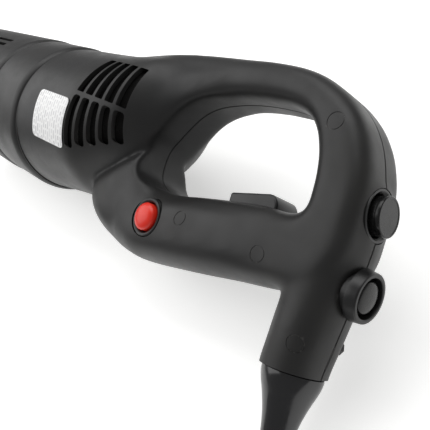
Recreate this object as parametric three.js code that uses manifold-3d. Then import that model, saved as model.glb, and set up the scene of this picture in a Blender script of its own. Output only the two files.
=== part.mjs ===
// Hand-held drive unit of a concrete vibrator: a universal motor in a round barrel, behind it a
// closed D-handle split along its middle plane, with a trigger and three push buttons.
//
// Working frame, millimetres: X runs back along the motor axis, Y points to the bow of the handle
// and Z is square to the plane of the handle. The whole tool is then laid on its side.
import * as THREE from "three";
import { mergeVertices } from "three/addons/utils/BufferGeometryUtils.js";
import Module from "manifold-3d";

const wasm = await Module();
wasm.setup();

// ---------------------------------------------------------------- driving dimensions
const GAP = 0.3; // between neighbours that touch
const WALL = 2.8; // moulded housings
const LAID_OVER = THREE.MathUtils.degToRad(23.6); // turn about the motor axis that rests the boot
const ROUND = 32; // sides of large turned parts
const SMALL_ROUND = 16; // sides of small turned parts

const BARREL = {
  frontX: -182, // front face of the front collar
  collarRadius: 55.9,
  sleeveFrontX: -52.1, // front step ring
  sleeveRadius: 55,
  rearX: 0, // rear step ring, where the handle housing starts
};

// Cross-sections of the barrel end of the handle housing: centre height and half axes in Y and Z.
const HOUSING_BARREL = [
  { x: BARREL.rearX + GAP, cy: 1.0, a: 52.8, b: 52.8 },
  { x: 20, cy: 2.8, a: 51.7, b: 51.7 },
  { x: 38, cy: 4.3, a: 50.7, b: 50.7 },
  { x: 54, cy: 5.6, a: 50, b: 50 },
  { x: 64, cy: 6.8, a: 49.4, b: 48.6 },
  { x: 73, cy: 10.2, a: 47.2, b: 45.9 },
  { x: 81.5, cy: 14, a: 44.6, b: 43.6 },
  { x: 89.5, cy: 17.2, a: 42.7, b: 41 },
  { x: 97.6, cy: 20.8, a: 40.6, b: 37.4 },
  { x: 104, cy: 24, a: 38.2, b: 32.8 },
  { x: 110, cy: 28.5, a: 35, b: 28.4 },
  { x: 116, cy: 33.5, a: 30.6, b: 25.2 },
  { x: 124, cy: 40, a: 24.8, b: 22.6 },
  { x: 134, cy: 45.5, a: 19.8, b: 21.1 },
  { x: 146, cy: 50, a: 16, b: 20.1 },
  { x: 160, cy: 53.5, a: 12.6, b: 19.2 },
  { x: 176, cy: 56, a: 9.6, b: 17.6 },
];

// The bar below the hand opening, which carries the trigger, front to rear.
const HANDLE_BAR = [
  { x: 69, cy: -29, a: 7, b: 12 },
  { x: 73, cy: -31.5, a: 11, b: 17 },
  { x: 80, cy: -34.4, a: 14.5, b: 21 },
  { x: 90, cy: -34.8, a: 19.8, b: 24 },
  { x: 100, cy: -32.7, a: 25.7, b: 25.2 },
  { x: 108, cy: -30.1, a: 30.1, b: 24.6 },
  { x: 114, cy: -29.6, a: 31.6, b: 24 },
  { x: 122, cy: -34.8, a: 26.8, b: 24.6 },
  { x: 138, cy: -40.2, a: 21.1, b: 25 },
  { x: 160, cy: -36, a: 20.4, b: 24 },
  { x: 182, cy: -30.7, a: 20.2, b: 22.6 },
  { x: 204, cy: -25.4, a: 19.7, b: 21.2 },
  { x: 226, cy: -20.8, a: 19, b: 19.4 },
  { x: 246, cy: -17, a: 17, b: 17.6 },
];

// The rear post, top to bottom. Its lower end leans, so that the cable leaves towards the rear.
const POST = [
  { y: 30, cx: 240.6, a: 13.2, b: 16.2, lean: 0 },
  { y: 21, cx: 247, a: 14.8, b: 17.6, lean: 0 },
  { y: 8, cx: 249.8, a: 15.4, b: 18, lean: 0 },
  { y: -6, cx: 251.2, a: 15.8, b: 18.1, lean: 0 },
  { y: -24, cx: 252.3, a: 16, b: 18.1, lean: 0 },
  { y: -42, cx: 253.3, a: 15.6, b: 17.6, lean: 3 },
  { y: -56, cx: 254.3, a: 15.1, b: 17, lean: 8 },
  { y: -65, cx: 254.9, a: 14.8, b: 16.6, lean: 11 },
  { y: -66.4, cx: 255.2, a: 13.6, b: 15.3, lean: 11 },
];

// Side outline of the handle, as a rounded plate: outer edge and hand opening.
const HANDLE_OUTER = [
  [42, 48], [60, 54.5], [78, 58.2], [105, 62], [130, 64.4], [152, 65.4], [192, 66.6], [208, 65],
  [222, 60.8], [236, 53.3], [247, 43.8], [255, 32.6], [260.5, 20], [263.5, 4], [264.5, -14],
  [256, -30], [229, -37.4], [205, -43.4], [178, -50.6], [152, -57.8], [134, -60.8], [118, -60.4],
  [104, -57], [92, -51], [80, -42], [64, -33], [42, -20],
];
const HAND_OPENING = [
  [112.4, 4], [116.2, 11.4], [121, 20], [126, 27.4], [132, 33.2], [140, 37.7], [150, 41],
  [162, 43.7], [176, 45.6], [190, 46.3], [203, 46], [213, 43.3], [221, 37.6], [227.2, 29],
  [231.4, 19.6], [234.2, 8], [234.6, 1.6], [231, -1.4], [212, -4.2], [190, -8.4], [168, -13.4],
  [150, -17.8], [138, -19.2], [124, -18.7], [116, -14.6], [112.6, -7],
];
const BAR_SQUARENESS = 2.8;
const HANDLE_HALF_WIDTH = 19;
const HANDLE_EDGE_ROUND = 9;

const LIGHT_BUTTON = { x: 146, y: -36, faceZ: 25.2, radius: 8.2, bezelRadius: 11.4, travel: 1.5 };
const ENABLE_BUTTON = {
  x: 274.9, y: -23.1, tilt: 4.4, radius: 8.7, bezelInner: 9.1, bezelRadius: 11.2, travel: 2,
};
const POWER_BUTTON = {
  x: 267.4, y: 11.7, tilt: 12.7, radius: 9.3, bezelInner: 9.7, bezelRadius: 11.4, travel: 2,
};

const TRIGGER = { x: 184.6, y: -9.6, length: 32, width: 19, slope: 0.19 };
const TRIGGER_SIDE = [
  [0, -8], [0, 4.8], [13, 5.8], [25.4, 6.7], [28.8, 5.9], [31, 3.6], [32, 0.4], [32, -8],
];
const SCREWS = [
  { x: 26, y: 38 }, { x: 28, y: -34 }, { x: 235, y: 41.7 }, { x: 263, y: -50 },
  { x: 126, y: -42 }, { x: 225.7, y: -26.5 },
];
const SCREW = { shank: 1.9, head: 3.7, headHeight: 2.6, boss: 5 };

// The cable boot leaves the post square to its leaning end: distance along it and radius.
const BOOT_START = { x: 255.3, y: -66.8 };
const BOOT = [
  { along: 0, r: 14.3 }, { along: 5, r: 13.8 }, { along: 10, r: 12.2 }, { along: 14, r: 10.8 },
  { along: 20, r: 9 }, { along: 29, r: 7.3 }, { along: 40, r: 6.6 }, { along: 60, r: 6 },
];
const BOOT_LEAN = THREE.MathUtils.degToRad(11);
const BOOT_AXIS = [Math.sin(BOOT_LEAN), -Math.cos(BOOT_LEAN), 0];
const CABLE_RADIUS = 4.6;

const SHAFT_RADIUS = 6;

const colours = {
  housing: { color: 0x323335, roughness: 0.55, metalness: 0 },
  black: { color: 0x161617, roughness: 0.4, metalness: 0 },
  rubber: { color: 0x0d0d0e, roughness: 0.18, metalness: 0 },
  red: { color: 0xe22a14, roughness: 0.2, metalness: 0 },
  paper: { color: 0xe6e6e4, roughness: 0.5, metalness: 0 },
  aluminium: { color: 0xa9abad, roughness: 0.45, metalness: 1 },
  steel: { color: 0x8d8f92, roughness: 0.3, metalness: 1 },
  laminate: { color: 0x4c4f54, roughness: 0.5, metalness: 1 },
  copper: { color: 0xb3683a, roughness: 0.35, metalness: 1 },
  board: { color: 0x1e5b3a, roughness: 0.6, metalness: 0 },
  carbon: { color: 0x1c1c1d, roughness: 0.8, metalness: 0 },
};

// ---------------------------------------------------------------- solids
// A closed geometry as a solid, with its faces pointing out.
function solid(geometry) {
  const bare = geometry.clone();
  bare.deleteAttribute("normal");
  bare.deleteAttribute("uv");
  const merged = mergeVertices(bare, 1e-4);
  const corners = merged.index.array;
  const kept = [];
  for (let i = 0; i < corners.length; i += 3) {
    const [p, q, r] = corners.slice(i, i + 3);
    if (p !== q && q !== r && r !== p) kept.push(p, q, r);
  }
  const make = (tris) =>
    new wasm.Manifold(
      new wasm.Mesh({
        numProp: 3,
        vertProperties: new Float32Array(merged.attributes.position.array),
        triVerts: new Uint32Array(tris),
      }),
    );
  const made = make(kept);
  return made.volume() > 0 ? made : make(kept.reverse());
}

function geometryOf(body) {
  const mesh = body.getMesh();
  const geometry = new THREE.BufferGeometry();
  geometry.setAttribute("position", new THREE.BufferAttribute(mesh.vertProperties, 3));
  geometry.setIndex(new THREE.BufferAttribute(mesh.triVerts, 1));
  const flat = geometry.toNonIndexed();
  flat.computeVertexNormals();
  return flat;
}

function block(low, high) {
  const size = high.map((v, i) => v - low[i]);
  const geometry = new THREE.BoxGeometry(...size);
  geometry.translate(...low.map((v, i) => v + size[i] / 2));
  return solid(geometry);
}

// A turned body about the X axis: its profile is a closed ring of [x, radius] pairs.
function turned(profile, sides = ROUND) {
  const points = [...profile, profile[0]].map(([x, r]) => new THREE.Vector2(r, x));
  const geometry = new THREE.LatheGeometry(points, sides);
  geometry.rotateZ(-Math.PI / 2);
  return solid(geometry);
}

const disc = (x0, x1, r, sides) => turned([[x0, 0], [x0, r], [x1, r], [x1, 0]], sides);
const ring = (x0, x1, inner, outer, sides) =>
  turned([[x0, inner], [x0, outer], [x1, outer], [x1, inner]], sides);

// Puts a body made about the X axis at a point, with its axis turned to a direction.
function aimed(body, origin, direction) {
  const turn = new THREE.Quaternion().setFromUnitVectors(
    new THREE.Vector3(1, 0, 0),
    new THREE.Vector3(...direction).normalize(),
  );
  const geometry = geometryOf(body);
  geometry.applyQuaternion(turn);
  geometry.translate(...origin);
  return solid(geometry);
}

// A skin through a row of rounded cross-sections. Each one has a centre, two half axes along u
// and v, and a squareness: 2 is an ellipse and more is squarer.
function loft(sections, squareness = 2, sides = 24) {
  const geometry = new THREE.CylinderGeometry(1, 1, 1, sides, sections.length - 1);
  const place = geometry.attributes.position;
  for (let i = 0; i < place.count; i += 1) {
    const s = sections[Math.round((0.5 - place.getY(i)) * (sections.length - 1))];
    const around = Math.atan2(place.getZ(i), place.getX(i));
    const reach = Math.hypot(place.getX(i), place.getZ(i));
    const c = Math.cos(around);
    const d = Math.sin(around);
    const k = reach / (Math.abs(c) ** squareness + Math.abs(d) ** squareness) ** (1 / squareness);
    const point = s.centre.clone().addScaledVector(s.u, s.a * k * c);
    point.addScaledVector(s.v, s.b * k * d);
    place.setXYZ(i, point.x, point.y, point.z);
  }
  return solid(geometry);
}

const X = new THREE.Vector3(1, 0, 0);
const Y = new THREE.Vector3(0, 1, 0);
const Z = new THREE.Vector3(0, 0, 1);

const alongX = (rows, inset) =>
  rows.map((s) => ({
    centre: new THREE.Vector3(s.x, s.cy, 0), u: Y, v: Z, a: s.a - inset, b: s.b - inset,
  }));
const alongY = (rows, inset) =>
  rows.map((s) => ({
    centre: new THREE.Vector3(s.cx, s.y, 0),
    u: X.clone().applyAxisAngle(Z, THREE.MathUtils.degToRad(s.lean)),
    v: Z,
    a: s.a - inset,
    b: s.b - inset,
  }));

// ---------------------------------------------------------------- handle housing
function handlePlate(inset, edgeRound) {
  const outline = new THREE.Shape();
  const [first, ...rest] = HANDLE_OUTER;
  outline.moveTo(...first);
  outline.splineThru([...rest, first].map((p) => new THREE.Vector2(...p)));
  const opening = new THREE.Path();
  const [start, ...others] = HAND_OPENING.toReversed(); // a hole runs against its outline
  opening.moveTo(...start);
  opening.splineThru([...others, start].map((p) => new THREE.Vector2(...p)));
  outline.holes.push(opening);
  const depth = 2 * (HANDLE_HALF_WIDTH - inset - edgeRound);
  const geometry = new THREE.ExtrudeGeometry(outline, {
    depth,
    curveSegments: 1,
    bevelThickness: edgeRound,
    bevelSize: edgeRound,
    bevelOffset: -edgeRound - inset,
    bevelSegments: 2,
  });
  geometry.translate(0, 0, -depth / 2);
  return solid(geometry);
}

// The hand opening as a solid through the handle, wider all round by the margin.
function openingPrism(margin) {
  const [first, ...rest] = HAND_OPENING;
  const outline = new THREE.Shape();
  outline.moveTo(...first);
  outline.splineThru([...rest, first].map((p) => new THREE.Vector2(...p)));
  const reach = 120;
  const geometry = new THREE.ExtrudeGeometry(outline, {
    depth: reach,
    curveSegments: 1,
    bevelThickness: GAP,
    bevelSize: GAP,
    bevelOffset: margin - GAP,
    bevelSegments: 1,
  });
  geometry.translate(0, 0, -reach / 2);
  return solid(geometry);
}

function trimmedRows(rows, key, inset) {
  const last = rows.length - 1;
  return rows.map((s, i) => {
    if (i === 0) return { ...s, [key]: s[key] - Math.sign(rows[1][key] - s[key]) * 4 };
    if (i === last) return { ...s, [key]: s[key] - Math.sign(s[key] - rows[i - 1][key]) * inset };
    return s;
  });
}

function housingOuter() {
  return loft(alongX(HOUSING_BARREL, 0), 2, ROUND)
    .add(loft(alongX(HANDLE_BAR, 0), BAR_SQUARENESS))
    .subtract(openingPrism(0))
    .add(loft(alongY(POST, 0), 2.2))
    .add(handlePlate(0, HANDLE_EDGE_ROUND));
}

function housingCavity() {
  const barrel = trimmedRows(HOUSING_BARREL, "x", WALL);
  const post = POST.slice(0, -1).map((s) => ({ ...s, y: s.y + (s.y < -60 ? WALL : 0) }));
  return loft(alongX(barrel, WALL), 2, ROUND)
    .add(loft(alongX(HANDLE_BAR, WALL), BAR_SQUARENESS, 20))
    .subtract(openingPrism(WALL))
    .add(loft(alongY(post, WALL), 2.2, 20))
    .add(handlePlate(WALL, HANDLE_EDGE_ROUND - 3));
}

// Louvred air inlets: five slots in two rows on each side of the barrel.
function inletSlots() {
  const cuts = [];
  for (let i = 0; i < 5; i += 1) {
    const x = 62.4 + 8.1 * i;
    const rise = 3.7 * i;
    cuts.push(block([x, 15.4, -70], [x + 5.6, 42.3, 70]));
    cuts.push(block([x, -19.8 + rise, -70], [x + 5.6, 12.6, 70]));
  }
  return cuts;
}

function buttonFrame(button) {
  const angle = THREE.MathUtils.degToRad(button.tilt);
  return { origin: [button.x, button.y, 0], direction: [Math.cos(angle), Math.sin(angle), 0] };
}

function onButton(button, body) {
  const { origin, direction } = buttonFrame(button);
  return aimed(body, origin, direction);
}

// The trigger slides square to the bar, which climbs to the rear.
const triggerAngle = Math.atan(TRIGGER.slope);
const TRIGGER_AXIS = [Math.sin(triggerAngle), -Math.cos(triggerAngle), 0];

function inTriggerFrame(body) {
  const geometry = geometryOf(body);
  geometry.rotateZ(triggerAngle);
  geometry.translate(TRIGGER.x, TRIGGER.y, 0);
  return solid(geometry);
}

function triggerSlot() {
  const half = TRIGGER.width / 2 + 0.4;
  return block([-0.4, -12.8, -half], [TRIGGER.length + 0.4, 14, half]);
}

function makeHandleShells() {
  let shell = housingOuter().subtract(housingCavity());
  for (const cut of inletSlots()) shell = shell.subtract(cut);
  const light = LIGHT_BUTTON;
  shell = shell
    .subtract(aimed(disc(0, 40, light.bezelRadius + GAP, 24), [light.x, light.y, 8], [0, 0, 1]))
    .subtract(onButton(ENABLE_BUTTON, disc(-18, 10, ENABLE_BUTTON.bezelRadius - 0.8, 24)))
    .subtract(onButton(POWER_BUTTON, disc(-18, 10, POWER_BUTTON.bezelRadius - 0.8, 24)))
    .subtract(onButton(POWER_BUTTON, disc(-5.6, 10, POWER_BUTTON.bezelRadius + 1, 24)))
    .subtract(aimed(disc(-12, 4, CABLE_RADIUS + 0.8, SMALL_ROUND), [BOOT_START.x, BOOT_START.y, 0], BOOT_AXIS))
    .subtract(
      inTriggerFrame(triggerSlot()),
    );
  const outer = housingOuter();
  let left = shell.intersect(block([-5, -90, GAP / 2], [300, 90, 90]));
  let right = shell.intersect(block([-5, -90, -90], [300, 90, -GAP / 2]));
  for (const { x, y } of SCREWS) {
    const postLeft = aimed(disc(GAP / 2, 70, SCREW.boss, 12), [x, y, 0], [0, 0, 1]);
    left = left.add(postLeft.intersect(outer));
    left = left.subtract(aimed(disc(-1, 12, SCREW.shank + GAP, 12), [x, y, 0], [0, 0, 1]));
    const postRight = aimed(disc(GAP / 2, 70, SCREW.boss, 12), [x, y, 0], [0, 0, -1]);
    right = right.add(postRight.intersect(outer));
    right = right
      .subtract(aimed(disc(-1, 80, SCREW.shank + GAP, 12), [x, y, 0], [0, 0, -1]))
      .subtract(aimed(disc(10, 80, SCREW.head + GAP, 12), [x, y, 0], [0, 0, -1]));
  }
  return { handle_shell_left: left, handle_shell_right: right };
}

function makeShellScrews() {
  const screws = {};
  SCREWS.forEach(({ x, y }, i) => {
    const shape = turned(
      [
        [-10, 0], [-10, SCREW.shank], [10 + GAP, SCREW.shank], [10 + GAP, SCREW.head],
        [10 + GAP + SCREW.headHeight, SCREW.head], [10 + GAP + SCREW.headHeight, 1.4],
        [11.4, 1.4], [11.4, 0],
      ],
      8,
    );
    screws[`shell_screw_${i + 1}`] = aimed(shape, [x, y, 0], [0, 0, -1]);
  });
  return screws;
}

function makeTrigger() {
  const half = TRIGGER.width / 2;
  const side = new THREE.Shape(TRIGGER_SIDE.map((p) => new THREE.Vector2(...p)));
  const round = 1.5;
  const geometry = new THREE.ExtrudeGeometry(side, {
    depth: 2 * (half - round),
    curveSegments: 4,
    bevelThickness: round,
    bevelSize: round,
    bevelOffset: -round,
    bevelSegments: 2,
  });
  geometry.translate(0, 0, -(half - round));
  return inTriggerFrame(solid(geometry));
}

function makeSwitchBody() {
  const housing = block([-4, -29, -11], [30, -13.4, 11]);
  return inTriggerFrame(housing);
}

// ---------------------------------------------------------------- buttons
function makeLightButton() {
  const { x, y, faceZ, radius, bezelRadius } = LIGHT_BUTTON;
  const button = turned([
    [-6, 0], [-6, radius - 0.4], [0.4, radius - 0.4], [1.4, radius - 1], [2.4, radius - 2.8],
    [3, radius - 5.4], [3.2, 0],
  ], 24);
  const bezel = turned([
    [-9, radius + 0.3], [-9, bezelRadius - 0.4], [-1.4, bezelRadius - 0.4],
    [-0.6, bezelRadius - 1.2], [-0.6, radius + 1], [-1.4, radius + 0.3],
  ], 24);
  const board = block([x - 9, y - 9, 11], [x + 9, y + 9, 12.6]).add(
    block([x - 3, y - 3, 12], [x + 3, y + 3, faceZ - 6 - LIGHT_BUTTON.travel - 0.4]),
  );
  return {
    light_button: aimed(button, [x, y, faceZ], [0, 0, 1]),
    light_bezel: aimed(bezel, [x, y, faceZ], [0, 0, 1]),
    light_switch: board,
  };
}

function makeEnableButton() {
  const { radius, bezelInner, bezelRadius, travel } = ENABLE_BUTTON;
  const button = turned([
    [-12, 0], [-12, radius - 0.6], [-2.6, radius - 0.6], [-1.4, radius - 1.4],
    [-0.4, radius - 4], [0, 0],
  ], 24);
  const bezel = turned([
    [-14, bezelInner], [-14, bezelRadius - 1.2], [-5.4, bezelRadius - 1.2],
    [-5.4, bezelRadius + 1.2], [-4, bezelRadius + 1.2], [-3.6, bezelRadius],
    [-0.8, bezelRadius], [0, bezelRadius - 0.8], [0, bezelInner + 0.6], [-0.6, bezelInner],
  ], 24);
  const board = disc(-17.4, -16, 8, SMALL_ROUND).add(disc(-16.2, -12 - travel - 0.4, 3, 12));
  return {
    enable_button: onButton(ENABLE_BUTTON, button),
    enable_bezel: onButton(ENABLE_BUTTON, bezel),
    enable_switch: onButton(ENABLE_BUTTON, board),
  };
}

function makePowerButton() {
  const { radius, bezelInner, bezelRadius, travel } = POWER_BUTTON;
  const button = turned([
    [-12, 0], [-12, radius], [-1.2, radius], [-0.3, radius - 0.6], [0, radius - 1.6], [0, 0],
  ], 24);
  const bezel = turned([
    [-14, bezelInner], [-14, bezelRadius - 1.2], [-5.2, bezelRadius - 1.2],
    [-5.2, bezelRadius + 0.6], [-3.8, bezelRadius + 0.6], [-3.2, bezelRadius],
    [-3.2, bezelInner],
  ], 24);
  const board = disc(-17.4, -16, 8, SMALL_ROUND).add(disc(-16.2, -12 - travel - 0.4, 3, 12));
  return {
    power_button: onButton(POWER_BUTTON, button),
    power_bezel: onButton(POWER_BUTTON, bezel),
    power_switch: onButton(POWER_BUTTON, board),
  };
}

// ---------------------------------------------------------------- cable entry
function makeBoot() {
  const outside = BOOT.map(({ along, r }) => [along, r]);
  const end = BOOT[BOOT.length - 1];
  const body = turned([...outside, [end.along, CABLE_RADIUS], [0, CABLE_RADIUS]], 24);
  return aimed(body, [BOOT_START.x, BOOT_START.y, 0], BOOT_AXIS);
}

function makeCableClamp() {
  return block([246, -43, -6], [262.5, -37, -1.2]).subtract(
    aimed(disc(-20, 20, CABLE_RADIUS, SMALL_ROUND), [254.4, -40, 0], [0, 1, 0]),
  );
}

// ---------------------------------------------------------------- barrel
function makeFrontCollar() {
  const { frontX, sleeveFrontX, collarRadius } = BARREL;
  const outer = collarRadius;
  let body = turned([
    [frontX, outer - WALL - 0.6], [frontX, outer - 1], [frontX + 1, outer],
    [sleeveFrontX - GAP - 1.2, outer], [sleeveFrontX - GAP, outer - 0.6],
    [sleeveFrontX - GAP, outer - WALL - 0.6],
  ]);
  for (const base of [55, 125, 235, 305]) {
    for (let i = -1; i <= 1; i += 1) {
      const angle = THREE.MathUtils.degToRad(base + i * 10);
      const slot = block([-128, 45, -2], [-100, 65, 2]);
      const geometry = geometryOf(slot);
      geometry.rotateX(angle - Math.PI / 2);
      body = body.subtract(solid(geometry));
    }
  }
  return body;
}

function makeSleeve() {
  const { rearX, sleeveFrontX, sleeveRadius } = BARREL;
  return turned([
    [sleeveFrontX, sleeveRadius - WALL], [sleeveFrontX, sleeveRadius - 0.2],
    [rearX - 1.2, sleeveRadius], [rearX, sleeveRadius - 0.6], [rearX, sleeveRadius - WALL],
  ]);
}

function makeLabel() {
  const skin = loft(alongX(HOUSING_BARREL, -0.8), 2, ROUND).subtract(
    loft(alongX(trimmedRows(HOUSING_BARREL, "x", -1), -GAP), 2, ROUND),
  );
  return skin.intersect(block([24, -22.5, 20], [61, 8.5, 70]));
}

function makeNose() {
  const x = BARREL.frontX;
  const body = turned([
    [x + 14, 14.6], [x + 14, 51.9], [x - GAP, 51.9], [x - GAP, 54.6], [x - 3, 54.6],
    [x - 8, 49], [x - 14, 32], [x - 22, 26], [x - 30, 25], [x - 30, 12], [x + 2, 12], [x + 2, 14.6],
  ]);
  return body;
}

function makeShaftSocket() {
  const x = BARREL.frontX - 30 - GAP;
  return turned([
    [x, 12.6], [x, 19.6], [x - 3, 20.4], [x - 13, 20.4], [x - 14, 19.4], [x - 14, 15.4],
    [x - 4, 15.4], [x - 4, 12.6],
  ], 24);
}

function makeMotor() {
  const core = { x0: -118, x1: -52 };
  const rotorRadius = 26;
  let stator = ring(core.x0, core.x1, rotorRadius + 1, 44);
  for (const side of [-1, 1]) {
    stator = stator.subtract(block([core.x0 - 1, side * 25 - 9, -60], [core.x1 + 1, side * 25 + 9, -36]));
    stator = stator.subtract(block([core.x0 - 1, side * 25 - 9, 36], [core.x1 + 1, side * 25 + 9, 60]));
  }
  const winding = (x0, x1) => ring(x0, x1, rotorRadius + 1.5, 38, 24);
  let rotorCore = ring(core.x0 + 2, core.x1 - 2, SHAFT_RADIUS + GAP, rotorRadius, 36);
  for (let i = 0; i < 12; i += 1) {
    const geometry = geometryOf(block([core.x0, 23.4, -0.9], [core.x1, 30, 0.9]));
    geometry.rotateX((i * Math.PI) / 6);
    rotorCore = rotorCore.subtract(solid(geometry));
  }
  let fan = ring(-146, -143.6, SHAFT_RADIUS + GAP, 46, 36).add(
    ring(-146, -132, SHAFT_RADIUS + GAP, 12, SMALL_ROUND),
  );
  for (let i = 0; i < 10; i += 1) {
    const geometry = geometryOf(block([-144, 11, -0.8], [-133, 45, 0.8]));
    geometry.rotateX((i * Math.PI) / 5);
    fan = fan.add(solid(geometry));
  }
  let commutator = ring(-34, -14, SHAFT_RADIUS + GAP, 16, 24);
  for (let i = 0; i < 12; i += 1) {
    const geometry = geometryOf(block([-33, 15.2, -0.4], [-13, 18, 0.4]));
    geometry.rotateX((i * Math.PI) / 6);
    commutator = commutator.subtract(solid(geometry));
  }
  const spindle = turned([
    [BARREL.frontX - 40, 0], [BARREL.frontX - 40, 4.4], [BARREL.frontX - 26, 4.4],
    [BARREL.frontX - 26, SHAFT_RADIUS], [12, SHAFT_RADIUS], [13, SHAFT_RADIUS - 1], [13, 0],
  ], SMALL_ROUND);
  return {
    stator,
    field_winding_front: winding(core.x0 - 9, core.x0 - GAP),
    field_winding_rear: winding(core.x1 + GAP, core.x1 + 9),
    rotor_core: rotorCore,
    armature_winding_front: ring(core.x0 - 6, core.x0 + 2 - GAP, SHAFT_RADIUS + GAP, 22, 24),
    armature_winding_rear: ring(core.x1 - 2 + GAP, core.x1 + 9, SHAFT_RADIUS + GAP, 22, 24),
    commutator,
    fan,
    spindle,
    front_bearing: ring(BARREL.frontX + 2 + GAP, BARREL.frontX + 13, SHAFT_RADIUS + GAP, 14.3, 24),
    rear_bearing: ring(0, 9, SHAFT_RADIUS + GAP, 12.7, 24),
    rear_bracket: turned([
      [-3, 13], [-3, 18], [1, 22], [1, 46], [5, 46], [5, 22], [10, 18], [10, 13],
    ], 36),
  };
}

function makeBrushes() {
  const brushes = {};
  for (const [name, side] of [["upper", 1], ["lower", -1]]) {
    const holder = block([-32, 18, -6], [-16, 42, 6]).subtract(block([-29, 16.6, -3.6], [-19, 38, 3.6]));
    const brush = block([-28.6, 16.4, -3.2], [-19.4, 30, 3.2]);
    for (const [piece, body] of [["brush_holder", holder], ["carbon_brush", brush]]) {
      const geometry = geometryOf(body);
      if (side < 0) geometry.rotateX(Math.PI);
      brushes[`${piece}_${name}`] = solid(geometry);
    }
  }
  return brushes;
}

// ---------------------------------------------------------------- assembly
const finishes = {
  front_collar: "housing", motor_sleeve: "housing", rating_label: "paper",
  handle_shell_left: "housing", handle_shell_right: "housing", trigger: "black",
  switch_body: "black", light_button: "red", light_bezel: "black", light_switch: "board",
  enable_button: "black", enable_bezel: "black", enable_switch: "board",
  power_button: "black", power_bezel: "black", power_switch: "board",
  cable_boot: "rubber", cable_clamp: "black", nose_casting: "aluminium",
  shaft_socket: "steel", stator: "laminate", field_winding_front: "copper",
  field_winding_rear: "copper", rotor_core: "laminate", armature_winding_front: "copper",
  armature_winding_rear: "copper", commutator: "copper", fan: "black", spindle: "steel",
  front_bearing: "steel", rear_bearing: "steel", rear_bracket: "black",
  brush_holder_upper: "board", brush_holder_lower: "board",
  carbon_brush_upper: "carbon", carbon_brush_lower: "carbon",
};

const pieces = {
  front_collar: makeFrontCollar(),
  motor_sleeve: makeSleeve(),
  nose_casting: makeNose(),
  shaft_socket: makeShaftSocket(),
  rating_label: makeLabel(),
  trigger: makeTrigger(),
  switch_body: makeSwitchBody(),
  cable_boot: makeBoot(),
  cable_clamp: makeCableClamp(),
  ...makeHandleShells(),
  ...makeShellScrews(),
  ...makeLightButton(),
  ...makeEnableButton(),
  ...makePowerButton(),
  ...makeMotor(),
  ...makeBrushes(),
};

const tool = new THREE.Group();
for (const [name, body] of Object.entries(pieces)) {
  const finish = colours[finishes[name] ?? "steel"];
  const mesh = new THREE.Mesh(geometryOf(body), new THREE.MeshStandardMaterial(finish));
  mesh.name = name;
  tool.add(mesh);
}
tool.rotation.x = LAID_OVER;

// The resting surface is at height 0 and the origin is below the middle of the tool.
const bounds = new THREE.Box3().setFromObject(tool, true);
const middle = bounds.getCenter(new THREE.Vector3());
tool.position.set(-middle.x, -middle.y, -bounds.min.z);

const vibrator = new THREE.Group();
vibrator.add(tool);

export default vibrator;
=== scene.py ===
"""Hand-held drive unit of a concrete vibrator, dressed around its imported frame.

Every new piece is drawn in millimetres in the motor's own frame: X runs along the motor to the
rear, Y runs to the bow of the handle, and Z is square to the flat of the handle. It is then laid
over, as the tool rests on the floor, and turned into metres.
"""

import logging
import math
from collections.abc import Sequence
from dataclasses import dataclass, field
from enum import Enum

import bmesh
import bpy
from mathutils import Matrix, Vector


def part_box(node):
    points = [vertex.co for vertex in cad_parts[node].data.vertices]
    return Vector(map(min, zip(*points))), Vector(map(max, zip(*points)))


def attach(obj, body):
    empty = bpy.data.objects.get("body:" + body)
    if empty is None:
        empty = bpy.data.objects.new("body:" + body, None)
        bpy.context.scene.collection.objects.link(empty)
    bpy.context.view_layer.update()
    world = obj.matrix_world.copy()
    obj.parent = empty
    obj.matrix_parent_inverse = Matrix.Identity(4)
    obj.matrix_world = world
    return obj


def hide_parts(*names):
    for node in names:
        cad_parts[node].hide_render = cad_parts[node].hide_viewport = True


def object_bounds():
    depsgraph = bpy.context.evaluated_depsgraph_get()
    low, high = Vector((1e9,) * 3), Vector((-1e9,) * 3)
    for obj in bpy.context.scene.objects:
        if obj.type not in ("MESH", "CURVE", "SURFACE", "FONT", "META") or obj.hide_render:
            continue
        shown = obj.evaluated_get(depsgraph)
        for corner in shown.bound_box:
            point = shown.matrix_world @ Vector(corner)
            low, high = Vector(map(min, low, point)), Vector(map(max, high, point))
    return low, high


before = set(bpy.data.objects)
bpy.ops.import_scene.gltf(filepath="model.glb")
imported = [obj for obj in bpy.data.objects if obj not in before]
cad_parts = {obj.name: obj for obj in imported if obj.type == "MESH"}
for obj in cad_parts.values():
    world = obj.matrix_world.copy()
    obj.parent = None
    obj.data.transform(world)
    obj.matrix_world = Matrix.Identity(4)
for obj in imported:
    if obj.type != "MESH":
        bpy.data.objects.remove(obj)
CAD_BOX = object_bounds()

LOG = logging.getLogger("vibrator_unit")

MM = 0.001
LAID_OVER = math.radians(23.6)
GAP = 0.3
WALL = 2.8
FULL_TURN = 2 * math.pi
ROUND = 96
CREASE = math.radians(32)

COLLAR_FRONT = -182.0

BAR_SQUARENESS = 2.8
POST_SQUARENESS = 2.2
WALL_ROUND_LOSS = 3.0
WAVE_SCALE = 0.314
ROUND_MARKS = (12.0, 1.0, 1.0)
FAR_SIDE = (0, 0, -1)

Point = tuple[float, float]
Triple = tuple[float, float, float]
Colour = Triple
Solid = bmesh.types.BMesh
Piece = bpy.types.Object
Material = bpy.types.Material
Socket = bpy.types.NodeSocket


class Side(Enum):
    """The two halves of the clamshell, by the sign of Z."""

    LEFT = 1
    RIGHT = -1


class Cut(Enum):
    """What one solid does to another."""

    TAKE_AWAY = "DIFFERENCE"
    KEEP_SHARED = "INTERSECT"
    JOIN = "UNION"


class Run(Enum):
    """The direction that a loft runs along."""

    MOTOR = 0
    POST = 1


# ------------------------------------------------------------------ drawing solids


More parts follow.
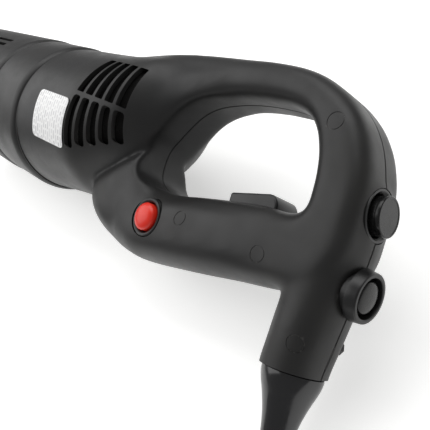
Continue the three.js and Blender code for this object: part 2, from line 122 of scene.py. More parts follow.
@dataclass(frozen=True)
class Section:
    """One cross-section of a loft.

    along is its place on the run, centre its place across it, wide its half width in the plane of
    the handle, deep its half width along Z, and lean its tilt in degrees in the handle's plane.
    """

    along: float
    centre: float
    wide: float
    deep: float
    lean: float = 0.0

    def fields(self) -> tuple[float, ...]:
        """Gives the five sizes in order."""
        return (self.along, self.centre, self.wide, self.deep, self.lean)

    def inset(self, by: float) -> "Section":
        """Gives the section with its wall moved in by a distance in millimetres."""
        return Section(self.along, self.centre, self.wide - by, self.deep - by, self.lean)


def sections(*rows: Sequence[float]) -> tuple[Section, ...]:
    """Reads rows of numbers as sections."""
    return tuple(Section(*row) for row in rows)


def eased(knots: Sequence[Section], steps: int = 5) -> list[Section]:
    """Puts sections between the given ones, on a smooth curve through them.

    Args:
        knots: the given sections in order.
        steps: how many spans each gap is divided into.

    Returns:
        The longer list of sections.
    """
    made: list[Section] = []
    last = len(knots) - 1
    for index in range(last):
        before = knots[max(index - 1, 0)].fields()
        start = knots[index].fields()
        end = knots[index + 1].fields()
        after = knots[min(index + 2, last)].fields()
        for step in range(steps):
            t = step / steps
            values = [
                0.5 * (2 * b + (c - a) * t + (2 * a - 5 * b + 4 * c - d) * t**2
                       + (3 * b - a - 3 * c + d) * t**3)
                for a, b, c, d in zip(before, start, end, after, strict=True)
            ]
            made.append(Section(*values))
    made.append(knots[-1])
    return made


def rounded_power(value: float, squareness: float) -> float:
    """Bends a sine or cosine towards a squarer outline: 2 keeps an ellipse, more is squarer."""
    return math.copysign(abs(value) ** (2 / squareness), value)


def face_out(shape: Solid) -> None:
    """Merges doubles and turns every face outwards."""
    bmesh.ops.remove_doubles(shape, verts=shape.verts, dist=1e-4)
    bmesh.ops.recalc_face_normals(shape, faces=shape.faces)


def loft(
    rows: Sequence[Section], run: Run, squareness: float = 2.0, sides: int = ROUND
) -> Solid:
    """Bridges a row of rounded sections into a closed solid.

    Args:
        rows: the sections in order.
        run: the direction that they follow.
        squareness: 2 for ellipses, more for squarer sections.
        sides: the number of corners of each section.

    Returns:
        The solid.
    """
    shape = bmesh.new()
    rings: list[list[bmesh.types.BMEdge]] = []
    for section in rows:
        made = bmesh.ops.create_circle(shape, segments=sides, radius=1.0)["verts"]
        lean = math.radians(section.lean)
        for vert in made:
            across = rounded_power(vert.co.x, squareness) * section.wide
            depth = rounded_power(vert.co.y, squareness) * section.deep
            if run is Run.MOTOR:
                vert.co = (section.along, section.centre + across, depth)
            else:
                vert.co = (
                    section.centre + across * math.cos(lean),
                    section.along + across * math.sin(lean),
                    depth,
                )
        rings.append(list({edge for vert in made for edge in vert.link_edges}))
    for first, second in zip(rings, rings[1:], strict=False):
        bmesh.ops.bridge_loops(shape, edges=first + second)
    bmesh.ops.holes_fill(shape, edges=shape.edges, sides=0)
    face_out(shape)
    return shape


def turned(profile: Sequence[Point], sides: int = ROUND) -> Solid:
    """Turns a profile about the X axis, as on a lathe.

    Args:
        profile: places along the axis and radii, in order round the closed profile.
        sides: the number of steps in the turn.

    Returns:
        The turned solid.
    """
    shape = bmesh.new()
    verts = [shape.verts.new((along, radius, 0.0)) for along, radius in profile]
    edges = [shape.edges.new(pair) for pair in zip(verts, verts[1:], strict=False)]
    if profile[0][1] > 0 or profile[-1][1] > 0:
        edges.append(shape.edges.new((verts[-1], verts[0])))
    bmesh.ops.spin(
        shape, geom=verts + edges, axis=(1, 0, 0), cent=(0, 0, 0), steps=sides,
        angle=FULL_TURN, use_merge=True,
    )
    face_out(shape)
    return shape


def rounded(
    shape: Solid, edges: Sequence[bmesh.types.BMEdge], offset: float, segments: int
) -> None:
    """Rounds the given edges of a solid."""
    bmesh.ops.bevel(
        shape, geom=edges, offset=offset, segments=segments, profile=0.5, affect="EDGES",
        material=-1, clamp_overlap=True,
    )


def block(low: Sequence[float], high: Sequence[float], corner: float = 0.0) -> Solid:
    """Makes a block, with its edges along Z rounded if a corner radius is given.

    Args:
        low: lowest corner.
        high: highest corner.
        corner: radius of the edges along Z.

    Returns:
        The block.
    """
    shape = bmesh.new()
    size = [b - a for a, b in zip(low, high, strict=True)]
    centre = [(a + b) / 2 for a, b in zip(low, high, strict=True)]
    placing = Matrix.Translation(centre) @ Matrix.Diagonal((*size, 1.0))
    bmesh.ops.create_cube(shape, size=1.0, matrix=placing)
    if corner:
        upright = [e for e in shape.edges if abs(e.verts[0].co.z - e.verts[1].co.z) > size[2] / 2]
        rounded(shape, upright, corner, 5)
    return shape


def softened(
    shape: Solid, offset: float, segments: int = 3, sharper_than: float = 40.0
) -> Solid:
    """Rounds the edges that are sharper than an angle.

    Args:
        shape: the solid, which is changed.
        offset: width of the rounding.
        segments: faces across it.
        sharper_than: angle between the faces, in degrees.

    Returns:
        The same solid.
    """
    limit = math.radians(sharper_than)
    sharp = [e for e in shape.edges if e.is_manifold and e.calc_face_angle(0.0) > limit]
    rounded(shape, sharp, offset, segments)
    return shape


def moved(shape: Solid, placing: Matrix) -> Solid:
    """Moves a solid by a matrix and gives it back."""
    bmesh.ops.transform(shape, matrix=placing, verts=shape.verts)
    return shape


def aimed(shape: Solid, origin: Sequence[float], direction: Sequence[float]) -> Solid:
    """Turns a solid's X axis to a direction and sets it at a place.

    Args:
        shape: the solid, which is changed.
        origin: where its own origin goes.
        direction: where its X axis points.

    Returns:
        The same solid.
    """
    turn = Vector((1, 0, 0)).rotation_difference(Vector(direction)).to_matrix().to_4x4()
    return moved(shape, Matrix.Translation(origin) @ turn)


def bored(
    steps: Sequence[Triple], origin: Sequence[float], direction: Sequence[float],
    sides: int = ROUND,
) -> Solid:
    """Makes a round cutter with steps.

    Args:
        steps: where each step starts and ends along the direction, and its radius.
        origin: where the cutter's own origin goes.
        direction: where it points.
        sides: the number of steps in the turn.

    Returns:
        The cutter.
    """
    profile: list[Point] = [(steps[0][0], 0)]
    for start, end, radius in steps:
        profile += [(start, radius), (end, radius)]
    profile.append((steps[-1][1], 0))
    return aimed(turned(profile, sides), origin, direction)


def shown(name: str, data: bpy.types.ID) -> Piece:
    """Makes an object of a mesh, curve, lamp or camera and puts it in the scene."""
    made = bpy.data.objects.new(name, data)
    bpy.context.scene.collection.objects.link(made)
    return made


def drawn(mesh: bpy.types.Mesh) -> Solid:
    """Takes up a mesh as a solid that can be worked on."""
    shape = bmesh.new()
    shape.from_mesh(mesh)
    return shape


def blank(shape: Solid, name: str = "blank") -> Piece:
    """Turns a drawn solid into an object that still measures in millimetres.

    Args:
        shape: the solid, which is freed.
        name: the object's name.

    Returns:
        The object.
    """
    mesh = bpy.data.meshes.new(name)
    shape.to_mesh(mesh)
    shape.free()
    return shown(name, mesh)


def copied(piece: Piece) -> Piece:
    """Makes a second object with a mesh of its own."""
    return shown(piece.name, piece.data.copy())


def settled(piece: Piece) -> Piece:
    """Applies an object's modifiers to its mesh.

    Args:
        piece: the object.

    Returns:
        The same object.
    """
    graph = bpy.context.evaluated_depsgraph_get()
    mesh = bpy.data.meshes.new_from_object(piece.evaluated_get(graph))
    piece.modifiers.clear()
    piece.data = mesh
    return piece


def cut(piece: Piece, tool: Piece, action: Cut) -> Piece:
    """Joins, trims or hollows one object with another, which is then thrown away.

    Args:
        piece: the object that stays.
        tool: the object that acts on it.
        action: what it does.

    Returns:
        The piece.
    """
    change = piece.modifiers.new("cut", "BOOLEAN")
    change.operation = action.value
    change.solver = "MANIFOLD"
    change.object = tool
    settled(piece)
    bpy.data.objects.remove(tool)
    return piece


def one_side(whole: Piece, side: Side, low: Triple, high: Triple) -> Piece:
    """Copies the part of a piece that lies in a box on one side of the handle's plane.

    Args:
        whole: the piece, which stays.
        side: the side.
        low: lowest corner of the box on the left side.
        high: its highest corner.

    Returns:
        The copy.
    """
    near, far = sorted((low[2] * side.value, high[2] * side.value))
    box = block((low[0], low[1], near), (high[0], high[1], far))
    return cut(copied(whole), blank(box), Cut.KEEP_SHARED)


def gathered(shapes: Sequence[Solid]) -> Piece:
    """Puts several solids into one object.

    Args:
        shapes: the solids, which are freed.

    Returns:
        The object.
    """
    whole = bmesh.new()
    for shape in shapes:
        part = bpy.data.meshes.new("part")
        shape.to_mesh(part)
        shape.free()
        whole.from_mesh(part)
        bpy.data.meshes.remove(part)
    return blank(whole)


def fused(piece: Piece, cell: float, passes: int) -> Piece:
    """Fuses overlapping solids into one skin and eases the creases between them.

    Args:
        piece: the object that holds the solids.
        cell: size of the grid, in millimetres.
        passes: how often the skin is smoothed.

    Returns:
        The same object.
    """
    grid = piece.modifiers.new("grid", "REMESH")
    grid.mode = "VOXEL"
    grid.voxel_size = cell
    if passes:
        ease = piece.modifiers.new("ease", "SMOOTH")
        ease.factor = 0.5
        ease.iterations = passes
    return settled(piece)


def motor_frame() -> Matrix:
    """Gives the matrix from the motor's frame in millimetres to the world in metres."""
    low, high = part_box("front_collar")
    origin = Vector((low.x - COLLAR_FRONT * MM, (low.y + high.y) / 2, (low.z + high.z) / 2))
    turn = Matrix.Rotation(LAID_OVER, 4, "X")
    return Matrix.Translation(origin) @ turn @ Matrix.Scale(MM, 4)


# ------------------------------------------------------------------ finishes


class Nodes:
    """A hand on a new material's nodes."""

    def __init__(self, name: str) -> None:
        """Makes the material with its shader.

        Args:
            name: the material's name.
        """
        self.material = bpy.data.materials.new(name)
        self.material.use_nodes = True
        self.tree = self.material.node_tree
        self.shader = self.tree.nodes["Principled BSDF"]
        self.place = self.add("ShaderNodeTexCoord").outputs["Object"]

    def add(self, kind: str, **values: object) -> bpy.types.Node:
        """Adds a node.

        Args:
            kind: the node's type.
            values: its properties, or its inputs by name with _ for a space.

        Returns:
            The node.
        """
        node = self.tree.nodes.new(kind)
        for name, value in values.items():
            socket = name.replace("_", " ")
            if socket in node.inputs:
                node.inputs[socket].default_value = value
            else:
                setattr(node, name, value)
        return node

    def join(self, start: Socket, end: Socket) -> None:
        """Links an output to an input."""
        self.tree.links.new(start, end)

    def set(self, **values: object) -> None:
        """Sets the shader's own sockets, named with _ for a space."""
        for name, value in values.items():
            self.shader.inputs[name.replace("_", " ")].default_value = value

    def noise(
        self, scale: float, detail: float = 3.0, rough: float = 0.55,
        stretch: Sequence[float] = (1.0, 1.0, 1.0), turn: float = 0.0,
    ) -> Socket:
        """Adds a noise over the piece.

        Args:
            scale: cells per metre.
            detail: octaves.
            rough: weight of the finer octaves.
            stretch: scale along each axis.
            turn: turn about X before the stretch, in radians.

        Returns:
            The noise's value.
        """
        mapping = self.add("ShaderNodeMapping", Scale=stretch, Rotation=(turn, 0.0, 0.0))
        pattern = self.add("ShaderNodeTexNoise", Scale=scale, Detail=detail, Roughness=rough)
        self.join(self.place, mapping.inputs["Vector"])
        self.join(mapping.outputs["Vector"], pattern.inputs["Vector"])
        return pattern.outputs["Fac"]

    def ramp(
        self, value: Socket, low: float = 0.3, high: float = 0.7,
        start: float = 0.0, end: float = 1.0,
    ) -> Socket:
        """Maps a value from one range to another, held at its ends.

        Args:
            value: what is mapped.
            low: start of its range.
            high: end of its range.
            start: result at the start.
            end: result at the end.

        Returns:
            The mapped value.
        """
        node = self.add("ShaderNodeMapRange")
        for slot, number in enumerate((low, high, start, end), start=1):
            node.inputs[slot].default_value = number
        self.join(value, node.inputs[0])
        return node.outputs[0]

    def base(self, colour: Socket) -> None:
        """Gives the shader its base colour."""
        self.join(colour, self.shader.inputs["Base Color"])

    def rough(self, value: Socket, start: float, end: float, high: float = 0.7) -> None:
        """Lets a pattern vary the shader's roughness between two values."""
        varied = self.ramp(value, high=high, start=start, end=end)
        self.join(varied, self.shader.inputs["Roughness"])

    def blend(self, value: Socket, first: Colour, second: Colour) -> Socket:
        """Blends two colours by a value.

        Args:
            value: 0 for the first colour and 1 for the second.
            first: the first colour.
            second: the second colour.

        Returns:
            The colour.
        """
        node = self.add("ShaderNodeMix", data_type="RGBA")
        node.inputs[6].default_value = (*first, 1.0)
        node.inputs[7].default_value = (*second, 1.0)
        self.join(value, node.inputs[0])
        return node.outputs[2]

    def relief(
        self, height: Socket, strength: float, depth: float,
        under: Socket | None = None,
    ) -> Socket:
        """Raises a value as bump on the shader.

        Args:
            height: the height.
            strength: 0 to 1.
            depth: its depth in metres.
            under: a bump that this one lies on.

        Returns:
            The bumped normal.
        """
        node = self.add("ShaderNodeBump", Strength=strength, Distance=depth)
        self.join(height, node.inputs["Height"])
        if under:
            self.join(under, node.inputs["Normal"])
        self.join(node.outputs["Normal"], self.shader.inputs["Normal"])
        return node.outputs["Normal"]

    def edges(self, low: float, high: float) -> Socket:
        """Finds sharp edges for a painted highlight: 0 on flats and 1 on sharp edges."""
        point = self.add("ShaderNodeNewGeometry").outputs["Pointiness"]
        return self.ramp(point, low, high)


@dataclass(frozen=True)
class TwoToned:
    """What the finishes in two close tones share."""

    name: str
    colour: Colour
    tint: Colour


@dataclass(frozen=True)
class MouldedPlastic(TwoToned):
    """Moulded plastic with spark grain, faint flow marks, handling marks and a painted highlight on
    its sharp edges.
    """

    roughness: float = 0.5
    grain: float = 0.28
    grain_scale: float = 2600.0
    specular: float = 0.4

    def build(self) -> Material:
        """Makes the material."""
        nodes = Nodes(self.name)
        nodes.set(Specular_IOR_Level=self.specular)
        cloud = nodes.noise(14.0, 4.0)
        colour = nodes.blend(nodes.ramp(cloud, 0.35, 0.68), self.colour, self.tint)
        # Sharp edges are painted lighter: a painted highlight where a rounded edge would catch the
        # light.
        painted_edge_highlight = nodes.add("ShaderNodeMix", data_type="RGBA")
        painted_edge_highlight.inputs[7].default_value = (*(min(1.0, 2.1 * c + 0.012) for c in self.tint), 1.0)
        nodes.join(nodes.edges(0.54, 0.66), painted_edge_highlight.inputs[0])
        nodes.join(colour, painted_edge_highlight.inputs[6])
        nodes.base(painted_edge_highlight.outputs[2])
        nodes.rough(nodes.noise(55.0, 5.0, 0.6), self.roughness - 0.06, self.roughness + 0.07)
        flow = nodes.relief(nodes.noise(120.0, 2.0, 0.5, (0.4, 1.0, 1.0)), 0.05, 0.0006)
        nodes.relief(nodes.noise(self.grain_scale, 2.0, 0.6), self.grain, 0.00012, flow)
        return nodes.material


@dataclass(frozen=True)
class GlossPlastic(TwoToned):
    """Polished moulded plastic or rubber with fine ripple and faint wipe marks."""

    roughness: float = 0.2
    specular: float = 0.5
    ripple: float = 0.06

    def build(self) -> Material:
        """Makes the material."""
        nodes = Nodes(self.name)
        nodes.set(Specular_IOR_Level=self.specular)
        cloud = nodes.noise(60.0, 3.0)
        colour = nodes.blend(nodes.ramp(cloud), self.colour, self.tint)
        nodes.base(colour)
        wipes = nodes.noise(240.0, 4.0, 0.6, (0.3, 1.0, 1.0))
        nodes.rough(wipes, self.roughness - 0.04, self.roughness + 0.1, 0.75)
        nodes.relief(nodes.noise(180.0, 2.0), self.ripple, 0.0004)
        return nodes.material


@dataclass(frozen=True)
class Metal(TwoToned):
    """Bare metal, cast with a grain or turned with fine tool marks round the motor's axis."""

    roughness: float = 0.35
    metallic: float = 1.0
    mark_scale: float = 900.0
    stretch: Triple = (1.0, 1.0, 1.0)
    depth: float = 0.0001

    def build(self) -> Material:
        """Makes the material."""
        nodes = Nodes(self.name)
        nodes.set(Metallic=self.metallic)
        cloud = nodes.noise(45.0, 4.0)
        colour = nodes.blend(nodes.ramp(cloud), self.colour, self.tint)
        nodes.base(colour)
        marks = nodes.noise(self.mark_scale, 3.0, 0.6, self.stretch, -LAID_OVER)
        nodes.rough(marks, self.roughness - 0.08, self.roughness + 0.1)
        nodes.relief(marks, 0.35, self.depth)
        return nodes.material


@dataclass(frozen=True)
class Banded(TwoToned):
    """A surface of fine parallel bands, such as stacked laminations, wire or a wire mesh."""

    pitch: float
    metallic: float = 0.0
    roughness: float = 0.45
    crossed: bool = False
    specular: float = 0.5

    def build(self) -> Material:
        """Makes the material."""
        nodes = Nodes(self.name)
        nodes.set(Metallic=self.metallic, Specular_IOR_Level=self.specular)
        mapping = nodes.add("ShaderNodeMapping", Rotation=(-LAID_OVER, 0.0, 0.0))
        nodes.join(nodes.place, mapping.inputs["Vector"])
        height: Socket | None = None
        for direction in ("X", "Y") if self.crossed else ("X",):
            wave = nodes.add(
                "ShaderNodeTexWave", bands_direction=direction, Scale=WAVE_SCALE / self.pitch
            )
            nodes.join(mapping.outputs["Vector"], wave.inputs["Vector"])
            if height is None:
                height = wave.outputs["Fac"]
            else:
                both = nodes.add("ShaderNodeMath", operation="MAXIMUM")
                nodes.join(height, both.inputs[0])
                nodes.join(wave.outputs["Fac"], both.inputs[1])
                height = both.outputs[0]
        nodes.base(nodes.blend(height, self.tint, self.colour))
        nodes.rough(nodes.noise(300.0), self.roughness - 0.08, self.roughness + 0.1)
        nodes.relief(height, 0.7, 0.0002)
        return nodes.material


@dataclass(frozen=True)
class PrintedFilm:
    """White film with rows of short grey dashes, which stand for small print that says nothing."""

    name: str = "printed_film"
    row: float = 0.0026
    word: float = 0.0062

    def build(self) -> Material:
        """Makes the material."""
        nodes = Nodes(self.name)
        turn = nodes.add("ShaderNodeMapping", Rotation=(-LAID_OVER, 0.0, 0.0))
        flip = nodes.add("ShaderNodeMapping", Rotation=(0.0, 0.0, math.pi / 2))
        nodes.join(nodes.place, turn.inputs["Vector"])
        nodes.join(turn.outputs["Vector"], flip.inputs["Vector"])
        dashes = nodes.add(
            "ShaderNodeTexBrick", Scale=1.0, offset=0.37, offset_frequency=2, squash=0.6,
            squash_frequency=3, Brick_Width=self.word, Row_Height=self.row,
            Mortar_Size=self.row * 0.3, Mortar_Smooth=0.25,
            Color1=(0.6, 0.6, 0.61, 1.0), Color2=(0.8, 0.8, 0.8, 1.0),
            Mortar=(0.95, 0.95, 0.945, 1.0),
        )
        nodes.join(flip.outputs["Vector"], dashes.inputs["Vector"])
        nodes.base(dashes.outputs["Color"])
        nodes.rough(nodes.noise(90.0), 0.34, 0.5)
        nodes.relief(nodes.noise(500.0), 0.08, 0.0001)
        return nodes.material


def prepared(recipe: MouldedPlastic | GlossPlastic | Metal | Banded | PrintedFilm) -> Material:
    """Gives a dataclass field that makes a recipe's material once."""
    return field(default_factory=recipe.build)


@dataclass
class Finishes:
    """All finishes of the tool, each made once."""

    housing: Material = prepared(MouldedPlastic(
        "textured_nylon", (0.0095, 0.0095, 0.0098), (0.0135, 0.013, 0.0122), 0.45
    ))
    satin: Material = prepared(MouldedPlastic(
        "satin_black", (0.006, 0.006, 0.0065), (0.009, 0.009, 0.009), 0.36, 0.12
    ))
    gloss: Material = prepared(GlossPlastic(
        "gloss_black", (0.005, 0.005, 0.005), (0.008, 0.008, 0.008), 0.24, 0.32
    ))
    red: Material = prepared(GlossPlastic(
        "red_cap", (0.83, 0.03, 0.012), (0.72, 0.02, 0.01), 0.3, 0.45
    ))
    rubber: Material = prepared(GlossPlastic(
        "boot_rubber", (0.004, 0.004, 0.005), (0.007, 0.007, 0.008), 0.17, 0.6, 0.1
    ))
    film: Material = prepared(PrintedFilm())
    # Near-black dust screen: a real filter mesh whose dark tone also paints the shade inside the
    # air inlets.
    screen: Material = prepared(Banded(
        "dust_screen", (0.004, 0.0038, 0.0035), (0.001, 0.001, 0.001), 0.0012, 0.0, 0.8, True, 0.12
    ))
    board: Material = prepared(MouldedPlastic(
        "circuit_board", (0.02, 0.12, 0.05), (0.03, 0.15, 0.06), 0.4, 0.1
    ))
    cast: Material = prepared(Metal(
        "cast_aluminium", (0.42, 0.43, 0.44), (0.5, 0.51, 0.52), 0.48, 1.0, 1500.0
    ))
    steel: Material = prepared(Metal(
        "turned_steel", (0.46, 0.46, 0.47), (0.56, 0.56, 0.57), 0.28, 1.0, 300.0, ROUND_MARKS
    ))
    laminated: Material = prepared(Banded(
        "stacked_laminations", (0.3, 0.31, 0.33), (0.08, 0.08, 0.09), 0.0009, 1.0
    ))
    winding: Material = prepared(Banded(
        "enamelled_wire", (0.62, 0.24, 0.08), (0.2, 0.06, 0.02), 0.0011, 0.85, 0.3
    ))
    copper: Material = prepared(Metal(
        "turned_copper", (0.75, 0.34, 0.18), (0.66, 0.28, 0.14), 0.25, 1.0, 300.0, ROUND_MARKS
    ))
    fan: Material = prepared(MouldedPlastic(
        "fan_nylon", (0.02, 0.02, 0.022), (0.028, 0.028, 0.03), 0.42
    ))
    brass: Material = prepared(Metal(
        "pressed_brass", (0.7, 0.48, 0.18), (0.62, 0.42, 0.15), 0.3
    ))
    carbon: Material = prepared(MouldedPlastic(
        "carbon_graphite", (0.016, 0.016, 0.017), (0.03, 0.03, 0.032), 0.38, 0.4
    ))
    blackened: Material = prepared(Metal(
        "blackened_steel", (0.018, 0.018, 0.02), (0.026, 0.025, 0.025), 0.42
    ))


@dataclass
class Workshop:
    """Turns shapes in millimetres into finished pieces on the tool."""

    placing: Matrix
    finishes: Finishes

    def finish(
        self, piece: Piece, name: str, finish: Material, slot: str,
        replaces: Sequence[str] = (), body: str = "housing",
    ) -> Piece:
        """Places, shades and dresses a piece and puts it on its body.

        Args:
            piece: the shape, in the motor's frame in millimetres.
            name: the piece's name.
            finish: its material.
            slot: the record's material slot, which is not used.
            replaces: the CAD nodes that it stands for.
            body: the body that it rides on.

        Returns:
            The finished piece.
        """
        mesh = piece.data
        mesh.transform(self.placing)
        mesh.materials.clear()
        mesh.materials.append(finish)
        mesh.polygons.foreach_set("use_smooth", [True] * len(mesh.polygons))
        mesh.set_sharp_from_angle(angle=CREASE)
        mesh.update()
        piece.name = name
        mesh.name = name
        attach(piece, body)
        if replaces:
            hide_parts(*replaces)
        LOG.info("%s: %d faces on %s", name, len(mesh.polygons), body)
        return piece


# ------------------------------------------------------------------ sub-assemblies


@dataclass
class MotorBarrel:
    """The front collar with its air outlets and the sleeve behind it."""

    collar_radius: float = 55.9
    sleeve_front: float = -52.1
    sleeve_radius: float = 55.0
    outlet_low: float = -118.0
    outlet_high: float = -86.0
    outlet_width: float = 3.4
    outlet_angles: tuple[int, ...] = (54, 126, 234, 306)

    def collar(self) -> Piece:
        """Makes the collar.

        Returns:
            The collar in the motor's frame.
        """
        front, outer = COLLAR_FRONT, self.collar_radius
        rear = self.sleeve_front - GAP
        shape = turned([
            (front, outer - 3.4), (front, outer - 1.2), (front + 0.35, outer - 0.5),
            (front + 1.1, outer), (rear - 7.0, outer), (rear - 5.6, outer - 0.12),
            (rear - 4.2, outer - 0.5), (rear - 2.8, outer - 1.15), (rear - 1.6, outer - 1.9),
            (rear - 1.2, outer - 2.4), (rear, outer - 2.5), (rear, outer - 3.4),
        ], 160)
        piece = blank(shape)
        cutters = []
        for base in self.outlet_angles:
            for step in (-7, 0, 7):
                half = self.outlet_width / 2
                low, high = (self.outlet_low, -half, 45), (self.outlet_high, half, 65)
                slot = block(low, high, half * 0.96)
                turn = Matrix.Rotation(math.radians(base + step - 90), 4, "X")
                cutters.append(moved(slot, turn))
        return cut(piece, gathered(cutters), Cut.TAKE_AWAY)

    def sleeve(self) -> Piece:
        """Makes the sleeve between the two step rings.

        Returns:
            The sleeve in the motor's frame.
        """
        front, outer = self.sleeve_front, self.sleeve_radius
        return blank(turned([
            (front, outer - WALL), (front, outer - 0.7), (front + 0.25, outer - 0.3),
            (front + 0.9, outer - 0.05), (front + 2.0, outer), (-7.0, outer), (-5.6, outer - 0.12),
            (-4.2, outer - 0.5), (-2.8, outer - 1.15), (-1.7, outer - 1.85), (-1.3, outer - 2.4),
            (0.0, outer - 2.5), (0.0, outer - WALL),
        ], 160))

    def build(self, shop: Workshop) -> None:
        """Makes both pieces."""
        shop.finish(
            self.collar(), "motor_collar", shop.finishes.housing, "housing_plastic",
            ["front_collar"],
        )
        shop.finish(
            self.sleeve(), "motor_sleeve_shell", shop.finishes.housing, "housing_plastic",
            ["motor_sleeve"],
        )


@dataclass
class Button:
    """A round push button in a ring on the tool.

    place and direction give the middle of its face and where it points, and pocket the steps of
    the bore that the housing holds it in.
    """

    name: str
    place: Triple
    direction: Triple
    cap: Sequence[Point]
    ring: Sequence[Point]
    pocket: Sequence[Triple]
    finish: str
    slot: str

    def build(self, shop: Workshop) -> None:
        """Makes the cap and the ring.

        Args:
            shop: the workshop.
        """
        cap = blank(aimed(turned(self.cap, 72), self.place, self.direction))
        shop.finish(
            cap, f"{self.name}_cap", getattr(shop.finishes, self.finish), self.slot,
            [f"{self.name}_button"], f"{self.name}_button_body",
        )
        ring = blank(aimed(turned(self.ring, 96), self.place, self.direction))
        shop.finish(
            ring, f"{self.name}_ring", shop.finishes.satin, "black_plastic",
            [f"{self.name}_bezel"],
        )


def tilted(degrees: float) -> Triple:
    """Gives the direction that a rear button points in, from its tilt towards the bow."""
    angle = math.radians(degrees)
    return (math.cos(angle), math.sin(angle), 0.0)


LIGHT = Button(
    "light", (146.0, -36.0, 25.2), (0.0, 0.0, 1.0),
    [(-6, 0), (-6, 7.8), (0.2, 7.8), (0.8, 7.55), (1.4, 7.05), (1.95, 6.3), (2.4, 5.3), (2.75, 4.1),
     (3.0, 2.8), (3.15, 1.4), (3.2, 0)],
    [(-9, 8.5), (-9, 11.0), (-1.6, 11.0), (-1.0, 10.8), (-0.7, 10.35), (-0.7, 9.6), (-1.0, 9.1),
     (-1.6, 8.6)],
    [(-14, 9, 11.4)], "red", "red_plastic",
)
ENABLE = Button(
    "enable", (274.9, -23.1, 0.0), tilted(4.4),
    [(-12, 0), (-12, 7.5), (-2.4, 7.5), (-1.7, 7.4), (-1.1, 7.05), (-0.7, 6.4), (-0.45, 5.4),
     (-0.25, 4.1), (-0.1, 2.4), (0, 0)],
    [(-14, 9.1), (-14, 10), (-5.5, 10), (-5.5, 11.9), (-5.0, 11.95), (-3.0, 11.6), (-1.0, 11.35),
     (-0.35, 11.2), (-0.05, 10.9), (0, 10.4), (0, 9.7), (-0.3, 9.25), (-1.0, 9.1)],
    [(-19, -5.6, 10.3), (-5.6, 4, 12.7)], "gloss", "gloss_black",
)
POWER = Button(
    "power", (267.4, 11.7, 0.0), tilted(12.7),
    [(-12, 0), (-12, 8.9), (-2.6, 8.9), (-2.4, 9.2), (-2.0, 9.3), (-0.8, 9.3), (-0.3, 9.15),
     (0, 8.8), (0, 8.1), (-0.2, 7.9), (-0.2, 0)],
    [(-14, 9.7), (-14, 10.2), (-5.3, 10.2), (-5.3, 12.0), (-4.9, 12.1), (-4.5, 11.95),
     (-4.3, 11.5), (-4.35, 10.9), (-4.9, 10.3), (-5.6, 9.7)],
    [(-19, -5.4, 10.5), (-5.4, 6, 12.3)], "gloss", "gloss_black",
)
BUTTONS = (LIGHT, ENABLE, POWER)


@dataclass
class TriggerUnit:
    """The trigger that slides into the bar, on the hand's side of it."""

    x: float = 184.6
    y: float = -9.6
    length: float = 32.0
    width: float = 19.0
    slope: float = 0.19
    edge: float = 1.4
    outline: tuple[Point, ...] = (
        (0, -8), (0, 4.8), (13, 5.8), (25.4, 6.7), (27.3, 6.5), (28.8, 5.9), (30, 4.9), (31, 3.6),
        (31.7, 2.1), (32, 0.4), (32, -8),
    )

    def placing(self) -> Matrix:
        """Gives the matrix from the trigger's frame to the motor's."""
        turn = Matrix.Rotation(math.atan(self.slope), 4, "Z")
        return Matrix.Translation((self.x, self.y, 0.0)) @ turn

    def slot(self) -> Solid:
        """Makes the cutter for the trigger's slot in the bar."""
        half = self.width / 2 + GAP
        return moved(block((-GAP, -16, -half), (self.length + GAP, 14, half)), self.placing())

    def build(self, shop: Workshop) -> None:
        """Makes the trigger.

        Args:
            shop: the workshop.
        """
        shape = bmesh.new()
        half = self.width / 2
        verts = [shape.verts.new((x, y, -half)) for x, y in self.outline]
        face = shape.faces.new(verts)
        made = bmesh.ops.extrude_face_region(shape, geom=[face])["geom"]
        lifted = [v for v in made if isinstance(v, bmesh.types.BMVert)]
        bmesh.ops.translate(shape, vec=(0, 0, self.width), verts=lifted)
        face_out(shape)
        softened(shape, self.edge, 5, 50.0)
        piece = blank(moved(shape, self.placing()))
        shop.finish(
            piece, "trigger_lever", shop.finishes.satin, "black_plastic", ["trigger"],
            "trigger_body",
        )


@dataclass
class CableBoot:
    """The tapered boot that leads the cable out of the post."""

    start: Triple = (255.3, -66.8, 0.0)
    lean: float = 11.0
    bore: float = 4.6

    def direction(self) -> Triple:
        """Gives the direction that the cable leaves in."""
        angle = math.radians(self.lean)
        return (math.sin(angle), -math.cos(angle), 0.0)

    def build(self, shop: Workshop) -> None:
        """Makes the boot.

        Args:
            shop: the workshop.
        """
        profile = [
            (0.0, self.bore), (0.0, 13.7), (0.4, 14.15), (1.0, 14.3), (3.0, 14.15), (5.0, 13.75),
            (7.5, 13.0), (10.0, 12.1), (12.0, 11.4), (14.0, 10.75), (17.0, 9.85), (20.0, 9.05),
            (24.0, 8.2), (29.0, 7.4), (34.0, 6.95), (40.0, 6.6), (48.0, 6.3), (56.0, 6.1),
            (58.8, 6.05), (59.6, 5.85), (60.0, 5.4), (60.0, self.bore),
        ]
        piece = blank(aimed(turned(profile), self.start, self.direction()))
        shop.finish(piece, "boot_sleeve", shop.finishes.rubber, "boot_rubber", ["cable_boot"])


